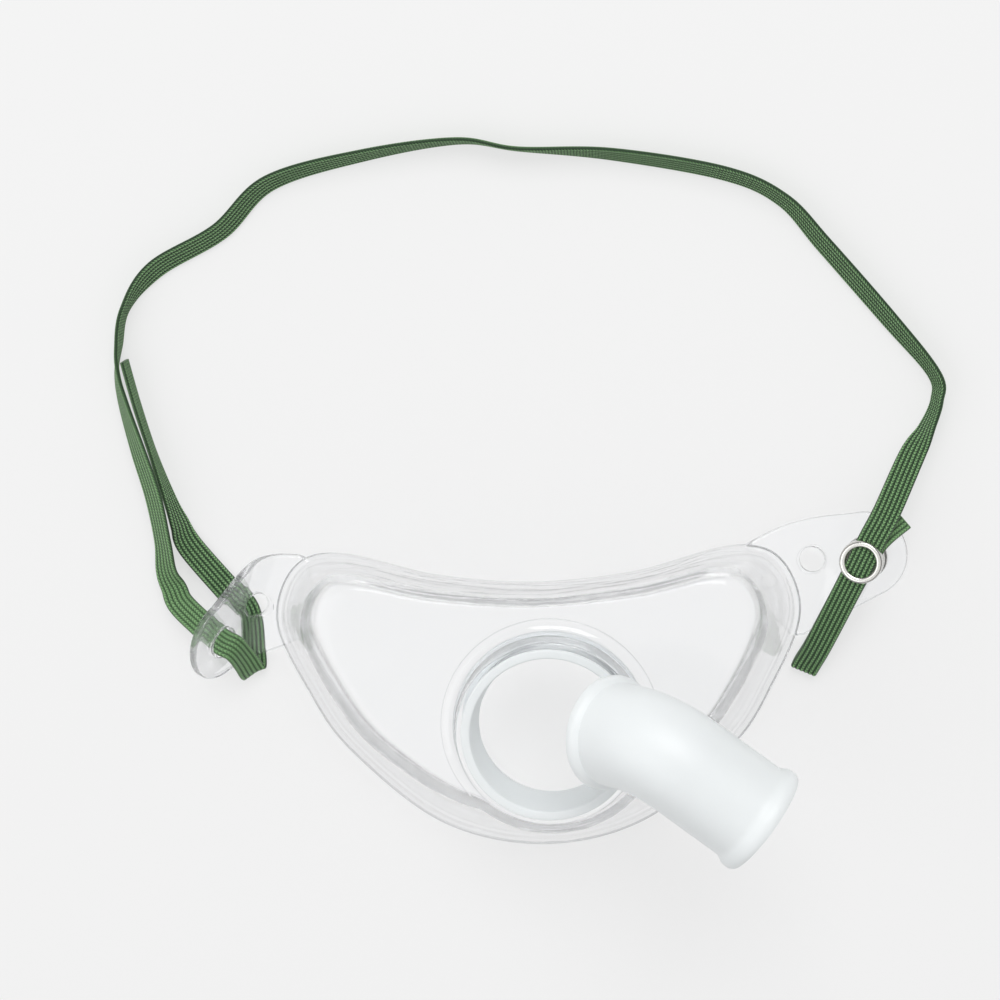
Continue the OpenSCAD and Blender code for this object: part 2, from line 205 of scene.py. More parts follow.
class SnapSettings(bpy.types.PropertyGroup):
    """Sizes and colour of the snap's rings."""

    outer: length("Outer", "Outer radius of the rings", 0.00475)
    inner: length("Inner", "Inner radius of the open front ring", 0.0033)
    metal: colour("Metal", "Colour of the plated metal", (0.70, 0.69, 0.66))


class StageSettings(bpy.types.PropertyGroup):
    """Camera, light and floor."""

    distance: length("Distance", "Distance of the camera from the point it looks at", 0.6)
    lens: FloatProperty(name="Lens", description="Focal length on a 36 mm sensor", default=97.63)
    tilt_x: angle("Tilt X", "Lean of the view towards +X", 4.0)
    tilt_y: angle("Tilt Y", "Lean of the view towards +Y", 11.0)
    roll: angle("Roll", "Turn of the picture", -2.0)
    aim: FloatVectorProperty(name="Aim", description="Point on the floor that the camera looks at",
                             default=(-0.01064, 0.04646, 0.0), unit="LENGTH")
    paper: colour("Paper", "Colour of the floor and of the pale surround", (0.888, 0.888, 0.888))


class MaskSettings(bpy.types.PropertyGroup):
    """All settings of the mask."""

    shell: PointerProperty(type=ShellSettings)
    connector: PointerProperty(type=ConnectorSettings)
    strap: PointerProperty(type=StrapSettings)
    snap: PointerProperty(type=SnapSettings)
    stage: PointerProperty(type=StageSettings)


# Shapes as arrays

def unit(v):
    """Vectors along the last axis, scaled to length one."""
    return v / np.linalg.norm(v, axis=-1, keepdims=True)


def spline(points, steps, closed=False):
    """Smooth curve through points: between b and c, with neighbours a and d, the point at t is half of
    2b + (c - a)t + (2a - 5b + 4c - d)t^2 + (3b - a - 3c + d)t^3, at an even number of steps a span."""
    p = np.asarray(points, float)
    if closed:
        a, b, c, d = (np.roll(p, shift, axis=0) for shift in (1, 0, -1, -2))
    else:
        q = np.concatenate([p[:1], p, p[-1:]])
        a, b, c, d = q[:-3], q[1:-2], q[2:-1], q[3:]
    t = (np.arange(steps) / steps)[None, :, None]
    a, b, c, d = (x[:, None, :] for x in (a, b, c, d))
    curve = 0.5 * (2 * b + (c - a) * t + (2 * a - 5 * b + 4 * c - d) * t**2 + (3 * b - a - 3 * c + d) * t**3)
    curve = curve.reshape(-1, p.shape[1])
    return curve if closed else np.concatenate([curve, p[-1:]])


def bezier(a, b, c, t):
    """Arc from a to c that leaves and arrives along the lines to the corner b."""
    return (1 - t) ** 2 * a + 2 * t * (1 - t) * b + t**2 * c


def rounded(profile, cut, steps=5):
    """Closed outline with each corner replaced by an arc: it leaves the corner's sides at the distance cut,
    or at 0.45 of the shorter side."""
    p = np.asarray(profile, float)
    back, ahead = np.roll(p, 1, axis=0) - p, np.roll(p, -1, axis=0) - p
    side = np.minimum(np.linalg.norm(back, axis=1), np.linalg.norm(ahead, axis=1))[:, None]
    reach = np.minimum(cut, 0.45 * side)
    t = np.linspace(0, 1, steps)[None, :, None]
    start, stop = p + reach * unit(back), p + reach * unit(ahead)
    return bezier(start[:, None], p[:, None], stop[:, None], t).reshape(-1, 2)


def revolve(profile, steps, origin=(0, 0, 0), axes=np.eye(3), start=0.0, turn=2 * math.pi):
    """Points r, z of a profile carried round an axis: origin + r cos(a) X + r sin(a) Y + z Z."""
    full = abs(turn - 2 * math.pi) < 1e-6
    a = start + turn * (np.arange(steps) / steps if full else np.linspace(0, 1, steps))
    a = a[:, None, None]
    r, z = profile[None, :, :1], profile[None, :, 1:]
    x, y, up = axes
    return np.asarray(origin) + r * np.cos(a) * x + r * np.sin(a) * y + z * up


def grid_faces(rows, cols, wrap_rows, wrap_cols):
    """Quads between neighbouring points of a grid, joined end to end where it wraps."""
    i = np.arange(rows if wrap_rows else rows - 1)[:, None]
    j = np.arange(cols if wrap_cols else cols - 1)[None, :]
    i2, j2 = (i + 1) % rows, (j + 1) % cols
    corners = np.broadcast_arrays(i * cols + j, i * cols + j2, i2 * cols + j2, i2 * cols + j)
    return np.stack(corners, -1).reshape(-1, 4)


def closed_surface(points, wrap_rows):
    """A grid of rings as a closed surface: the rings join end to end, or a fan of triangles closes each
    end."""
    rows, cols = points.shape[:2]
    quads = grid_faces(rows, cols, wrap_rows, True)
    flat = points.reshape(-1, 3)
    if wrap_rows:
        return flat, quads, np.zeros((0, 3), int)
    ends = np.stack([points[0].mean(axis=0), points[-1].mean(axis=0)])
    j = np.arange(cols)
    near = np.stack([np.full(cols, rows * cols), (j + 1) % cols, j], -1)
    last = (rows - 1) * cols
    far = np.stack([np.full(cols, rows * cols + 1), last + j, last + (j + 1) % cols], -1)
    return np.concatenate([flat, ends]), quads, np.concatenate([near, far])


def enclosed(points, quads, tris):
    """Volume inside a closed surface: a sixth of the sum of a . (b x c) over its triangles."""
    three = np.concatenate([quads[:, [0, 1, 2]], quads[:, [0, 2, 3]], tris])
    a, b, c = (points[three[:, k]] for k in range(3))
    return np.einsum("ij,ij->i", a, np.cross(b, c)).sum() / 6


def new_piece(name, points, wrap_rows=True, uv=None, edge=None):
    """Mesh object from a grid of rings, with its faces turned outwards, an optional UV for each point, and
    an optional share of painted grey outline for each ring, as painted shade in the point attribute edge."""
    flat, quads, tris = closed_surface(points, wrap_rows)
    if enclosed(flat, quads, tris) < 0:
        quads, tris = quads[:, ::-1], tris[:, ::-1]
    mesh = bpy.data.meshes.new(name)
    corners = np.concatenate([quads.ravel(), tris.ravel()]).astype(np.int32)
    sizes = np.concatenate([np.full(len(quads), 4), np.full(len(tris), 3)]).astype(np.int32)
    mesh.vertices.add(len(flat))
    mesh.loops.add(len(corners))
    mesh.polygons.add(len(sizes))
    mesh.vertices.foreach_set("co", flat.ravel())
    mesh.loops.foreach_set("vertex_index", corners)
    mesh.polygons.foreach_set("loop_start", (np.cumsum(sizes) - sizes).astype(np.int32))
    if uv is not None:
        layer = mesh.uv_layers.new(name="UVMap")
        layer.uv.foreach_set("vector", uv[corners].ravel())
    mesh.update(calc_edges=True)
    mesh.validate()
    # Painted shade: the share marks where the vinyl material lays its dark grey outline
    if edge is not None:
        share = np.zeros(len(flat), np.float32)
        share[:points.shape[0] * points.shape[1]] = np.repeat(edge, points.shape[1])
        mesh.attributes.new("edge", "FLOAT", "POINT").data.foreach_set("value", share)
    piece = bpy.data.objects.new(name, mesh)
    bpy.context.collection.objects.link(piece)
    return piece


def combine(base, other, operation):
    """Joins other to base, or cuts it out of base, and removes other."""
    step = base.modifiers.new("combine", "BOOLEAN")
    step.operation, step.solver, step.object = operation, "EXACT", other
    graph = bpy.context.evaluated_depsgraph_get()
    made = bpy.data.meshes.new_from_object(base.evaluated_get(graph))
    base.modifiers.clear()
    old, base.data = base.data, made
    bpy.data.meshes.remove(old)
    spent = other.data
    bpy.data.objects.remove(other)
    bpy.data.meshes.remove(spent)


def weld(piece):
    """Merges points that the cuts and joins left within 3 micrometres, splits faces of more than four
    corners and drops faces without area."""
    near = 0.003 * MM
    work = bmesh.new()
    work.from_mesh(piece.data)
    bmesh.ops.remove_doubles(work, verts=work.verts, dist=near)
    bmesh.ops.dissolve_degenerate(work, edges=work.edges, dist=near)
    bmesh.ops.triangulate(work, faces=[face for face in work.faces if len(face.verts) > 4])
    bmesh.ops.dissolve_degenerate(work, edges=work.edges, dist=near)
    work.to_mesh(piece.data)
    work.free()


def finish_piece(piece, body, material, slot, *nodes, crease=40):
    """Gives a piece smooth shading with sharp creases, its material, the body it rides on and the nodes it
    stands for."""
    mesh = piece.data
    mesh.shade_smooth()
    mesh.set_sharp_from_angle(angle=math.radians(crease))
    mesh.materials.clear()
    mesh.materials.append(material)
    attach(piece, body)
    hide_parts(*nodes)


# Shell and ears

def whole(half, shift, steps):
    """Both halves of an outline as one smooth closed curve, moved off the port's axis by shift."""
    mirrored = half[-2:0:-1] * np.array([-1, 1])
    return spline(np.concatenate([half, mirrored]), steps, closed=True) - np.array([shift, 0])


def inset(outline, depth):
    """Outline moved inwards, square to its course."""
    t = unit(np.roll(outline, -1, axis=0) - np.roll(outline, 1, axis=0))
    return outline + depth * np.stack([t[:, 1], -t[:, 0]], -1)


def at_least(outline, radius):
    """Outline pushed out from the port's axis to at least the given radius."""
    r = np.linalg.norm(outline, axis=1, keepdims=True)
    return outline * np.maximum(1, radius / r)


def raised(outline, z):
    """Outline lifted to z, which is one height or one for each point."""
    height = np.broadcast_to(np.asarray(z, float).reshape(-1, 1), (len(outline), 1))
    return np.concatenate([outline, height], 1)


def bowl_rows(rim, face, height, edge):
    """Rows of one side of the wall, from the edge height at the rim to the start of the shoulder: a straight
    mix of rim and face outline."""
    shoulder = 0.86
    shares = np.linspace(edge / height, shoulder, 14)
    return [raised(rim * (1 - f) + face * f, f * height) for f in shares]


def face_rows(s, face, height, foot_radius, bowl_top):
    """Rows of one side of the face: an arc over the shoulder, then a straight run to the foot circle, which
    rises by the crown."""
    foot = foot_radius * unit(face)
    crown_full = 0.014
    crown_start = 0.3
    arc_share = 0.12
    run = np.linalg.norm(face, axis=1) - crown_full

    def on_face(q):
        climb = crown_start + (1 - crown_start) * np.linalg.norm(face - q, axis=1) / run
        return raised(q, height + s.face_crown * climb)

    start = on_face(face + arc_share * (foot - face))
    corner = raised(face, height + crown_start * s.face_crown)
    arc = [bezier(bowl_top, corner, start, t) for t in np.linspace(0, 1, 9)[1:]]
    across = np.linspace(arc_share, 1, 14)[1:]
    return arc + [on_face(face + f * (foot - face)) for f in across]


def shell_rings(s):
    """Rings round the shell: up the outer wall, over the shoulder and the face, up the turret, down its
    bore, and back along the inside to the rim, which is rounded as half a sine wave. The rim's outer edge
    and the step at the turret's foot get a painted grey outline, as painted shade, by the shares given last."""
    lip = 0.0008
    turret_foot = s.port_outer + 0.0003
    foot_r = turret_foot + s.port_fillet
    shoulder_margin = 0.0006
    rim = whole(RIM_HALF, s.shift, OUTLINE_STEPS)
    face = at_least(whole(FACE_HALF, s.shift, OUTLINE_STEPS), foot_r + shoulder_margin)
    rim_in, face_in = inset(rim, s.wall), inset(face, s.wall)
    around = unit(face)

    outer = bowl_rows(rim, face, s.face_height, lip)
    outer += face_rows(s, face, s.face_height, foot_r, outer[-1])
    foot_z = outer[-1][:, 2:]
    step = 0.0005
    arc = s.port_fillet - step
    climb = [(0.00005, 0.00035), (0.00015, 0.00045), (0.0004, step)]
    climb += [(step + arc * math.sin(x), step + arc * (1 - math.cos(x)))
              for x in np.linspace(0, math.pi / 2, 10)]
    fillet = [np.concatenate([around * (foot_r - r), foot_z + z], 1) for r, z in climb]

    bore, top, below = s.port_bore, s.port_top, s.face_height - 0.0009
    collar = rounded([(turret_foot, 0.0225), (s.port_outer, top), (bore, top), (bore, below),
                      (bore + 0.0016, below)], 0.0006)
    turret = [raised(around * r, z) for r, z in collar[5:-5]]

    height_in = s.face_height - s.wall
    inner = bowl_rows(rim_in, face_in, height_in, lip)
    inner += face_rows(s, face_in, height_in, bore + 0.0022, inner[-1])
    rim_edge = [raised(rim * (1 - f) + rim_in * f, lip * (1 - math.sin(math.pi * f)))
                for f in (0.97, 0.85, 0.7, 0.5, 0.3, 0.15, 0.03)]
    rows = outer + fillet + turret + inner[::-1] + rim_edge
    # Painted shade: how much painted grey outline the rim's edge and the turret's foot get
    rim_shade, foot_shade = 0.75, 0.6
    edge = np.zeros(len(rows))
    edge[-2:] = rim_shade
    edge[len(outer):len(outer) + 2] = foot_shade
    return np.stack(rows), edge


def ear_place(ear, u0, v0, w):
    """Place on an ear at u outwards from its root, v along the root and w above its middle plane: the sheet
    is turned in its plane, rolled up over a cylinder between two distances and twisted on its way out."""
    turn, a, b, twist = (math.radians(ear[k]) for k in ("turn", "angle", "bend", "twist"))
    begin, end = MM * ear["bend_from"], MM * ear["bend_to"]
    u = math.cos(turn) * u0 - math.sin(turn) * v0
    v = math.sin(turn) * u0 + math.cos(turn) * v0
    u, v, w = (np.asarray(x, float)[..., None] for x in (u, v, w))
    out_axis = np.array([ear["side"] * math.cos(a), math.sin(a), 0])
    side_axis = np.array([-ear["side"] * math.sin(a), math.cos(a), 0])
    rolled = b * np.clip((u - begin) / (end - begin), 0, 1)
    radius = (end - begin) / b
    far = np.maximum(u - end, 0)
    out = np.minimum(u, begin) + radius * np.sin(rolled) + far * math.cos(b)
    high = radius * (1 - np.cos(rolled)) + far * math.sin(b)
    lean = twist * np.clip(u / end, 0, 1)
    normal = np.cos(rolled) * UP - np.sin(rolled) * out_axis
    across = np.cos(lean) * side_axis + np.sin(lean) * normal
    proud = np.cos(lean) * normal - np.sin(lean) * side_axis
    return MM * np.array(ear["root"]) + out * out_axis + high * UP + v * across + w * proud


def ear_frame(ear, spot):
    """Origin and axes X, Y, Z at a spot on an ear's middle plane, with Z along the ear's normal."""
    u, v = MM * spot[0], MM * spot[1]
    origin = ear_place(ear, u, v, 0.0)
    normal = unit(ear_place(ear, u, v, 1.0) - origin)
    x = unit(np.cross([0, 1, 0], normal))
    return origin, np.stack([x, np.cross(normal, x), normal])


def ear_outline(s, ear, count):
    """Outline of an ear in its plane: straight edges from the root, tangent to a round end, with half a sine
    wave added to the upper edge as its bow, and a root that narrows inside the wall."""
    centre = MM * END_AT
    corners = {1: np.array([0, s.ear_root]), -1: np.array([0, -MM * ear["low_root"]])}
    line, lean = {}, {}
    for sign, p in corners.items():
        d = centre - p
        far = np.linalg.norm(d)
        lean[sign] = math.atan2(d[1], d[0]) + sign * math.asin(s.ear_end / far)
        reach = math.sqrt(far**2 - s.ear_end**2)
        f = np.linspace(0, 1, 40)
        line[sign] = p + reach * f[:, None] * np.array([math.cos(lean[sign]), math.sin(lean[sign])])
        line[sign][:, 1] += (sign > 0) * ear["bow"] * s.ear_bow * np.sin(math.pi * f)
    arc_angle = np.linspace(lean[1] + math.pi / 2, lean[-1] - math.pi / 2, 60)[1:-1]
    arc = centre + s.ear_end * np.stack([np.cos(arc_angle), np.sin(arc_angle)], -1)
    root = 0.006
    tail = [corners[-1] + np.array([-root, root / 2]), corners[1] + np.array([-root, -root / 2])]
    loop = np.concatenate([line[1], arc, line[-1][::-1], tail, line[1][:1]])
    walked = np.concatenate([[0], np.cumsum(np.linalg.norm(np.diff(loop, axis=0), axis=1))])
    even = np.linspace(0, walked[-1], count, endpoint=False)
    return np.stack([np.interp(even, walked, loop[:, k]) for k in range(2)], -1)


def ear_rings(s, ear):
    """Rings of an ear: from the middle of its lower face out to the edge, round the edge and back over the
    upper face, with the share of painted grey outline, painted shade, rising as the sine of the angle round
    it."""
    outline = ear_outline(s, ear, 200)
    middle = np.array([0.009, 0.0])
    soft = 0.0006
    half = s.wall / 2
    deep = inset(outline, soft)
    face = [(middle + f * (deep - middle), half) for f in np.linspace(0.03, 1, 26)]
    a = np.linspace(0, math.pi / 2, 7)[1:]
    bend = [(inset(outline, soft * (1 - math.sin(x))), half - soft * (1 - math.cos(x))) for x in a]
    upper = face + bend
    rows = [(q, -w) for q, w in upper] + upper[::-1]
    # Painted shade: the painted grey outline rises round the ear's edge
    edge = np.concatenate([np.zeros(len(face)), np.sin(a)])
    rings = np.stack([ear_place(ear, q[:, 0], q[:, 1], w) for q, w in rows])
    return rings, np.concatenate([edge, edge[::-1]])


def hole_cutter(s, ear, spot, diameter):
    """Cutter for a hole with soft edges: a spool, narrow at the sheet's middle and flared beyond its faces.
    Its round ends a little past the face, so that no ring of the cutter lies in it."""
    origin, axes = ear_frame(ear, spot)
    soft = 0.0004
    past = 1.06
    a = np.linspace(0, math.pi / 2, 5)
    r = diameter / 2 + soft * (1 - np.cos(a))
    z = s.wall / 2 - soft + past * soft * np.sin(a)
    half = np.concatenate([np.stack([r, z], -1), [(diameter / 2 + 2 * soft, s.wall)]])
    profile = np.concatenate([half[::-1] * np.array([1, -1]), half])
    rings = np.swapaxes(revolve(profile, 64, origin, axes), 0, 1)
    return new_piece("hole_cutter", rings, wrap_rows=False)


def cavity_cutter(s):
    """Cutter that ends the ears inside the shell's wall, 0.6 of the way through it."""
    rim, face = (inset(whole(half, s.shift, OUTLINE_STEPS), 0.6 * s.wall) for half in (RIM_HALF, FACE_HALF))
    rows = [raised(rim * (1 - f) + face * f, f * s.face_height) for f in np.linspace(-0.2, 1.0, 8)]
    return new_piece("cavity_cutter", np.stack(rows), wrap_rows=False)


class MASK_OT_shell(bpy.types.Operator):
    """Make the clear vinyl shell with its turret and its two perforated ears"""

    bl_idname = "neck_mask.shell"
    bl_label = "Vinyl Shell"

    def execute(self, context):
        s = context.scene.neck_mask.shell
        rings, edge = shell_rings(s)
        shell = new_piece("vinyl_shell", rings, edge=edge)
        for ear in (EAR_RIGHT, EAR_LEFT):
            rings, edge = ear_rings(s, ear)
            flap = new_piece("ear", rings, wrap_rows=False, edge=edge)
            combine(flap, hole_cutter(s, ear, HOLE_AT, s.ear_hole), "DIFFERENCE")
            combine(flap, hole_cutter(s, ear, SPARE_AT, s.ear_spare), "DIFFERENCE")
            combine(flap, cavity_cutter(s), "DIFFERENCE")
            combine(shell, flap, "UNION")
        weld(shell)
        finish_piece(shell, "mask", clear_vinyl(s), "clear_vinyl", "mask_shell")
        return {"FINISHED"}


# Swivel connector

def sleeve_profile(c, s):
    """Outline r, z of the sleeve: catch below the face, straight wall in the bore, lip over the turret's
    edge and a way that widens upwards."""
    high = s.face_height + s.face_crown - s.wall - 0.0004
    low = high - 0.0016
    bore, top = s.port_bore, s.port_top
    wall, catch, lip = bore - c.gap, bore + 0.0012, bore + 0.0008
    lip_low, lip_high = top + 0.0003, top + 0.0012
    return rounded([(c.way, low), (catch, low), (catch, high), (wall, high), (wall, lip_low), (lip, lip_low),
                    (lip, lip_high), (bore - 0.0012, lip_high), (c.way, high + 0.001)], 0.0004)


def scoop_profile(s):
    """Outline r, z of the scoop that carries the tube on the sleeve's edge, as steps from the top of the
    bore."""
    steps = [(-0.0013, 0.0004), (0.0006, 0.0004), (0.0046, 0.0044), (0.0046, 0.0064), (0.0032, 0.0064),
             (-0.0013, 0.0019)]
    return rounded(np.array([s.port_bore, s.port_top]) + np.array(steps), 0.0003)


def elbow_line(c, reach_in, reach_out):
    """Centre line of the elbow as places, courses, distances from the inner end and the normal of its plane:
    two straight legs and an arc between them."""
    leg_in = np.array([math.sqrt(0.5), 0, math.sqrt(0.5)])
    leg_out = np.array([math.cos(c.turn), math.sin(c.turn), 0])
    corner = np.array(c.corner)
    turn = math.acos(leg_in @ leg_out)
    cut = c.bend * math.tan(turn / 2)
    towards = unit(leg_out - (leg_in @ leg_out) * leg_in)
    first, arc, last = c.inner_leg - cut, c.bend * turn, c.outer_leg - cut
    d = np.concatenate([np.linspace(-reach_in, first, 22)[:-1], first + np.linspace(0, arc, 26),
                        first + arc + np.linspace(0, last + reach_out, 26)[1:]])
    bent = np.clip((d - first) / c.bend, 0, turn)[:, None]
    course = np.cos(bent) * leg_in + np.sin(bent) * towards
    place = (corner - c.inner_leg * leg_in + np.minimum(d, first)[:, None] * leg_in
             + c.bend * (np.sin(bent) * leg_in + (1 - np.cos(bent)) * towards)
             + np.maximum(d - first - arc, 0)[:, None] * leg_out)
    return place, course, d, np.cross(leg_in, towards)


def swept(place, course, side, radius, steps=96):
    """Circles of the given radii round a line in a plane whose normal is side."""
    a = 2 * math.pi * np.arange(steps) / steps
    other = np.cross(course, side)
    ring = np.cos(a)[None, :, None] * side + np.sin(a)[None, :, None] * other[:, None, :]
    return place[:, None, :] + radius[:, None, None] * ring


def elbow_rings(c):
    """Rings of the elbow: out along its outside with the bead and the flared land, round the hose end's
    edge, back along the bore and round the inner edge. Along the tube the bead is half an ellipse, and the
    flare f^2 (3 - 2f) of the step to the land."""
    place, course, d, side = elbow_line(c, 0, 0)
    bead_at, bead_half, bead_high = 0.0009, 0.0017, 0.0012
    flare_at, flare_long = 0.0042, 0.0022
    soft = 0.0004
    bead = bead_high * np.clip(1 - ((d - bead_at) / bead_half) ** 2, 0, 1) ** 0.5
    flare = np.clip((d - (d[-1] - flare_at)) / flare_long, 0, 1)
    outer = c.tube + bead + (c.land - c.tube) * flare**2 * (3 - 2 * flare)
    inner = np.full_like(d, c.tube - c.tube_wall)
    outer[[0, -1]] -= soft
    inner[[0, -1]] += soft
    out = swept(place, course, side, outer)
    back = swept(place, course, side, inner)[::-1]
    return np.concatenate([out, back])


class MASK_OT_connector(bpy.types.Operator):
    """Make the frosted swivel connector: sleeve, scoop and hose elbow in one moulding"""

    bl_idname = "neck_mask.connector"
    bl_label = "Swivel Connector"

    def execute(self, context):
        settings = context.scene.neck_mask
        c, s = settings.connector, settings.shell
        connector = new_piece("frosted_connector", revolve(sleeve_profile(c, s), 160))
        rings = revolve(scoop_profile(s), 30, start=math.radians(-8), turn=math.radians(38))
        scoop = new_piece("scoop", rings, wrap_rows=False)
        past = 0.004
        place, course, d, side = elbow_line(c, past, past)
        rings = swept(place, course, side, np.full_like(d, c.tube - 0.5 * c.tube_wall))
        combine(scoop, new_piece("bore", rings, wrap_rows=False), "DIFFERENCE")
        combine(connector, scoop, "UNION")
        combine(connector, new_piece("elbow", elbow_rings(c)), "UNION")
        weld(connector)
        finish_piece(connector, "connector", frosted_plastic(c), "frosted_plastic", "swivel_connector")
        return {"FINISHED"}


# Strap

def strap_section(k, count):
    """Outline across, thick of the ribbed elastic, with its place round it from 0 to 2, half for each face.
    At x from -1 to 1 across the strap, half its thickness goes as (1 - |x|^14)^0.5, less a dip between the
    ribs that goes as the square of (1 + cos) / 2, and the upper face dips more than the lower."""
    upper_dip, lower_dip = 0.36, 0.14
    x = np.linspace(-1, 1, count)
    body = k.thick / 2 * (1 - np.abs(x) ** 14) ** 0.5
    dip = (0.5 + 0.5 * np.cos(math.pi * k.ribs * (x + 1))) ** 2
    across = k.width / 2 * x
    upper = np.stack([across, body * (1 - upper_dip * dip)], -1)
    lower = np.stack([across, -body * (1 - lower_dip * dip)], -1)[::-1]
    round_it = np.concatenate([(x + 1) / 2, (x + 3)[1:-1] / 2])
    return np.concatenate([upper, lower[1:-1]]), round_it


def strap_line(steps):
    """Places, courses, directions across and lengths so far along the strap's route."""
    line = spline(MM * ROUTE[:, 0], steps)
    wide = spline(ROUTE[:, 1], steps)
    course = unit(np.gradient(line, axis=0))
    across = unit(wide - (wide * course).sum(axis=1, keepdims=True) * course)
    walked = np.concatenate([[0], np.cumsum(np.linalg.norm(np.diff(line, axis=0), axis=1))])
    return line, course, across, walked


class MASK_OT_strap(bpy.types.Operator):
    """Make the green elastic strap along its route, with its ribs"""

    bl_idname = "neck_mask.strap"
    bl_label = "Elastic Strap"

    def execute(self, context):
        k = context.scene.neck_mask.strap
        line, course, across, walked = strap_line(16)
        section, place = strap_section(k, 43)
        proud = np.cross(across, course)
        rings = (line[:, None, :] + section[None, :, :1] * across[:, None, :]
                 + section[None, :, 1:] * proud[:, None, :])
        along = walked / k.width
        uv = np.stack(np.broadcast_arrays(place[None, :], along[:, None]), -1).reshape(-1, 2)
        ends = np.array([[0.5, 0.0], [0.5, along[-1]]])
        strap = new_piece("elastic_strap", rings, wrap_rows=False, uv=np.concatenate([uv, ends]))
        finish_piece(strap, "mask", green_elastic(k), "green_elastic", "head_strap", crease=60)
        return {"FINISHED"}


# Snap

def ring_profile(inner, outer, low, high):
    """Outline r, z of a pressed ring: a round inner edge, a crown and a flank that drops on the outside."""
    wide, tall = outer - inner, high - low
    steps = [(0.0, 0.5), (0.06, 0.9), (0.25, 1.0), (0.72, 1.0), (0.95, 0.78), (1.0, 0.3), (1.0, 0.0),
             (0.85, 0.0), (0.7, 0.25), (0.3, 0.25)]
    return rounded([(inner + wide * x, low + tall * z) for x, z in steps], 0.3 * MM)


class MASK_OT_snap(bpy.types.Operator):
    """Make the four parts of the ring snap on the right ear"""

    bl_idname = "neck_mask.snap"
    bl_label = "Ring Snap"

    def execute(self, context):
        n = context.scene.neck_mask.snap
        metal = plated_metal(n)
        origin, axes = ear_frame(EAR_RIGHT, HOLE_AT)
        o = n.outer
        socket = rounded([(0.0023, 0.0018), (0.0036, 0.0018), (o - 0.00015, 0.0024), (o - 0.00015, 0.0036),
                          (0.0014, 0.0036), (0.0014, 0.0033), (0.0023, 0.0033)], 0.0002)
        stud = rounded([(0.0012, 0.00105), (o - 0.00025, 0.00105), (o - 0.00025, 0.0015), (0.0020, 0.0015),
                        (0.00215, 0.0024), (0.0020, 0.0031), (0.0012, 0.0031)], 0.00015)
        parts = {
            "snap_ring": ring_profile(n.inner, o, 0.0055, 0.0074),
            "snap_socket": socket,
            "snap_stud": stud,
            "snap_back_ring": ring_profile(0.0024, o, -0.00105, -0.00205),
        }
        for node, profile in parts.items():
            ring = new_piece("plated_" + node, revolve(profile, 72, origin, axes))
            finish_piece(ring, "mask", metal, "nickel", node)
        return {"FINISHED"}


# Materials

def shorthand(tree):
    """Two shorthands for a node tree. The first adds a node and sets its sockets, each to a value or a link.
    The second adds a step of arithmetic on two such inputs and gives its result."""
    def put(socket, value):
        if isinstance(value, bpy.types.NodeSocket):
            tree.links.new(value, socket)
        else:
            socket.default_value = value

    def add(kind, **sockets):
        node = tree.nodes.new("ShaderNode" + kind)
        for key, value in sockets.items():
            put(node.inputs[key.replace("_", " ")], value)
        return node

    def maths(operation, a, b):
        node = tree.nodes.new("ShaderNodeMath")
        node.operation = operation
        put(node.inputs[0], a)
        put(node.inputs[1], b)
        return node.outputs[0]

    return add, maths


def new_material(name):
    """Material with an empty node tree, and the shorthands for it."""
    material = bpy.data.materials.new(name)
    material.use_nodes = True
    material.node_tree.nodes.clear()
    return material, *shorthand(material.node_tree)


def mixed(add, share, first, second):
    """Mix of two shaders, with the given share of the second."""
    mix = add("MixShader", Fac=share)
    tree = mix.id_data
    tree.links.new(first.outputs[0], mix.inputs[1])
    tree.links.new(second.outputs[0], mix.inputs[2])
    return mix


def clear_vinyl(s):
    """Clear soft vinyl: glass with faint flow lines along its walls, mixed with a film that greys and
    mirrors more the flatter it is looked along. With f = 1 - cos of the angle to the surface's normal, the
    film's grey is f^4 and its mirror 0.04 + 0.96 f^5. Rings with an edge share get more of the film and a
    painted grey outline: painted shade along the rim, the turret's foot and the ears' edges. Light from the
    lamps passes straight through, and so, dimmed, do rays caught inside the wall."""
    material, add, maths = new_material("clear_vinyl")
    layers = add("Mapping", Vector=add("TexCoord").outputs["Object"], Scale=(1.0, 1.0, 4.0))
    waves = add("TexNoise", Vector=layers.outputs[0], Scale=70.0, Detail=2.0)
    bump = add("Bump", Strength=0.2, Distance=0.0006, Height=waves.outputs["Fac"]).outputs["Normal"]
    glass = add("BsdfPrincipled", Roughness=0.03, IOR=1.45, Transmission_Weight=1.0, Base_Color=s.vinyl,
                Normal=bump)
    path = add("LightPath")
    caught = add("BsdfTransparent", Color=s.edge)
    glass = mixed(add, maths("GREATER_THAN", path.outputs["Ray Depth"], 3.5), glass, caught)
    passed = add("BsdfTransparent", Color=(0.95, 0.96, 0.965, 1.0))
    clear = mixed(add, path.outputs["Is Shadow Ray"], glass, passed)
    facing = add("LayerWeight", Blend=0.5).outputs["Facing"]
    # Painted shade: the edge attribute lays a dark grey outline along the rim, the turret's foot and the
    # ears' edges
    painted_outline = add("Attribute")
    painted_outline.attribute_name = "edge"
    edge = painted_outline.outputs["Fac"]
    grey = maths("MAXIMUM", maths("POWER", facing, 4.0), maths("MULTIPLY", edge, 0.6))
    tint = add("ValToRGB", Fac=grey)
    tint.color_ramp.elements[0].color = s.vinyl
    tint.color_ramp.elements[1].color = s.edge
    stained = add("BsdfTransparent", Color=tint.outputs["Color"])
    film = mixed(add, 0.02, stained, add("BsdfDiffuse", Color=s.vinyl))
    gloss = add("BsdfGlossy", Roughness=0.08, Normal=bump)
    mirror = maths("ADD", maths("MULTIPLY", maths("POWER", facing, 5.0), 0.96), 0.04)
    # More of the greying film where the painted outline lies
    share = maths("MAXIMUM", maths("MULTIPLY", edge, 0.8), 0.3)
    add("OutputMaterial", Surface=mixed(add, share, clear, mixed(add, mirror, film, gloss)).outputs[0])
    return material


